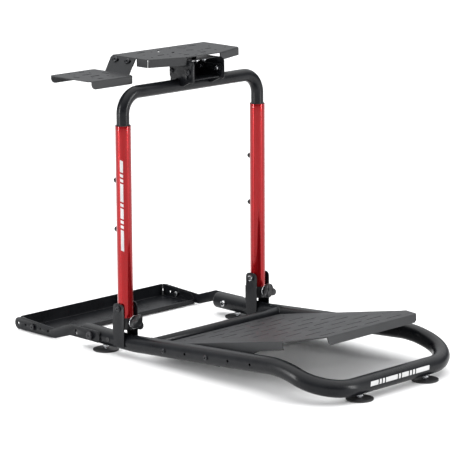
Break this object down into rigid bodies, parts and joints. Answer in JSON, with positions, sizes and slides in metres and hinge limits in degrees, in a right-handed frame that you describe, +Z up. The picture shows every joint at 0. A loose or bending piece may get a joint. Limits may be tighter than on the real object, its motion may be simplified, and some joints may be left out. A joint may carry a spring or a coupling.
{
  "type": "racing wheel stand",
  "caption": "Floor stand for a racing wheel, gear shifter and pedals: bent tube base, folding uprights with a sliding hoop, tilting wheel deck, shifter shelf, pedal deck and castor tray.",
  "frame": {"origin": "on the floor, at the centre of the stand's outline", "axes": "+Z up, +Y forward towards the pedals, +X to the driver's right"},
  "size_m": [0.697, 1.319, 0.868],
  "materials": {
    "black_powder_coat": "satin black powder coat with a fine texture",
    "grey_powder_coat": "satin dark grey powder coat with a fine texture",
    "red_gloss_paint": "gloss red paint",
    "black_plastic": "matte moulded plastic",
    "foot_rubber": "matte rubber",
    "zinc_steel": "zinc plated",
    "black_steel": "blackened steel, slight sheen",
    "bright_plating": "bright plated steel"
  },
  "bodies": {
    "base": {"base_frame": "black_powder_coat", "rail_end_caps": "black_plastic", "rail_plugs": "black_plastic", "cross_tube": "black_powder_coat", "foot_bosses": "zinc_steel", "hinge_bracket_right": "black_powder_coat", "hinge_bracket_left": "black_powder_coat", "pivot_bolts": "black_steel", "pivot_nuts": "zinc_steel", "pivot_washers": "black_plastic", "pedal_bolts": "black_steel", "pedal_nuts": "zinc_steel", "tray_arm_right": "black_powder_coat", "tray_arm_left": "black_powder_coat", "arm_bolts": "black_steel", "arm_nuts": "zinc_steel", "tray_bolts": "black_steel", "tray_nuts": "zinc_steel", "foot_lock_nuts": "zinc_steel"},
    "uprights": {"upright_right": "red_gloss_paint", "upright_left": "red_gloss_paint", "tube_foot_right": "black_plastic", "tube_foot_left": "black_plastic", "top_bushings": "black_plastic", "clamp_bosses": "black_powder_coat", "clamp_bolts": "black_steel"},
    "knob_r": {"knob_right": "black_plastic", "knob_stud_right": "bright_plating"},
    "knob_l": {"knob_left": "black_plastic", "knob_stud_left": "bright_plating"},
    "hoop": {"hoop": "black_powder_coat", "leg_caps": "black_plastic", "bar_bracket": "black_powder_coat", "tilt_pivot_bolts": "black_steel", "tilt_pivot_nuts": "zinc_steel", "tilt_lock_bolts": "black_steel", "tilt_lock_nuts": "zinc_steel"},
    "wheel_deck": {"deck_channel": "black_powder_coat", "wheel_deck": "grey_powder_coat", "deck_spacers": "black_plastic", "deck_screws": "black_steel", "deck_screw_nuts": "zinc_steel", "shifter_bolts": "black_steel", "shifter_nuts": "zinc_steel"},
    "shifter_shelf": {"shifter_shelf": "grey_powder_coat"},
    "pedal_deck": {"pedal_plate": "grey_powder_coat"},
    "chair_tray": {"chair_tray": "black_powder_coat"},
    "foot_rear_right": {"foot_pad_rear_right": "foot_rubber", "foot_stem_rear_right": "zinc_steel"},
    "foot_rear_left": {"foot_pad_rear_left": "foot_rubber", "foot_stem_rear_left": "zinc_steel"},
    "foot_front_right": {"foot_pad_front_right": "foot_rubber", "foot_stem_front_right": "zinc_steel"},
    "foot_front_left": {"foot_pad_front_left": "foot_rubber", "foot_stem_front_left": "zinc_steel"}
  },
  "joints": [
    {"name": "uprights_fold", "type": "hinge", "parent": "base", "child": "uprights", "pos_m": [-0.0355, -0.1845, 0.145], "axis": [1, 0, 0], "range_deg": [0, 78]},
    {"name": "hoop_height", "type": "slide", "parent": "uprights", "child": "hoop", "axis": [0, 0, 1], "range_m": [0, 0.13]},
    {"name": "deck_tilt", "type": "hinge", "parent": "hoop", "child": "wheel_deck", "pos_m": [-0.0355, -0.2025, 0.821], "axis": [1, 0, 0], "range_deg": [-3, 15]},
    {"name": "shifter_slide", "type": "slide", "parent": "wheel_deck", "child": "shifter_shelf", "axis": [0, 1, 0], "range_m": [-0.01, 0.01]},
    {"name": "pedal_slide", "type": "slide", "parent": "base", "child": "pedal_deck", "axis": [0, 0.9973, 0.0736], "range_m": [0, 0.014]},
    {"name": "tray_slide", "type": "slide", "parent": "base", "child": "chair_tray", "axis": [0, 1, 0], "range_m": [-0.03, 0.03]},
    {"name": "foot_turn_rear_right", "type": "hinge", "parent": "base", "child": "foot_rear_right", "pos_m": [0.2385, -0.2735, 0.0025], "axis": [0, 0, 1], "continuous": true},
    {"name": "foot_turn_rear_left", "type": "hinge", "parent": "base", "child": "foot_rear_left", "pos_m": [-0.3095, -0.2735, 0.0025], "axis": [0, 0, 1], "continuous": true},
    {"name": "foot_turn_front_right", "type": "hinge", "parent": "base", "child": "foot_front_right", "pos_m": [0.1005, 0.6205, 0.0025], "axis": [0, 0, 1], "continuous": true},
    {"name": "foot_turn_front_left", "type": "hinge", "parent": "base", "child": "foot_front_left", "pos_m": [-0.1715, 0.6205, 0.0025], "axis": [0, 0, 1], "continuous": true},
    {"name": "knob_turn_r", "type": "hinge", "parent": "uprights", "child": "knob_r", "pos_m": [0.2385, -0.1445, 0.107], "axis": [0, 1, 0], "continuous": true},
    {"name": "knob_turn_l", "type": "hinge", "parent": "uprights", "child": "knob_l", "pos_m": [-0.3095, -0.1445, 0.107], "axis": [0, 1, 0], "continuous": true}
  ]
}
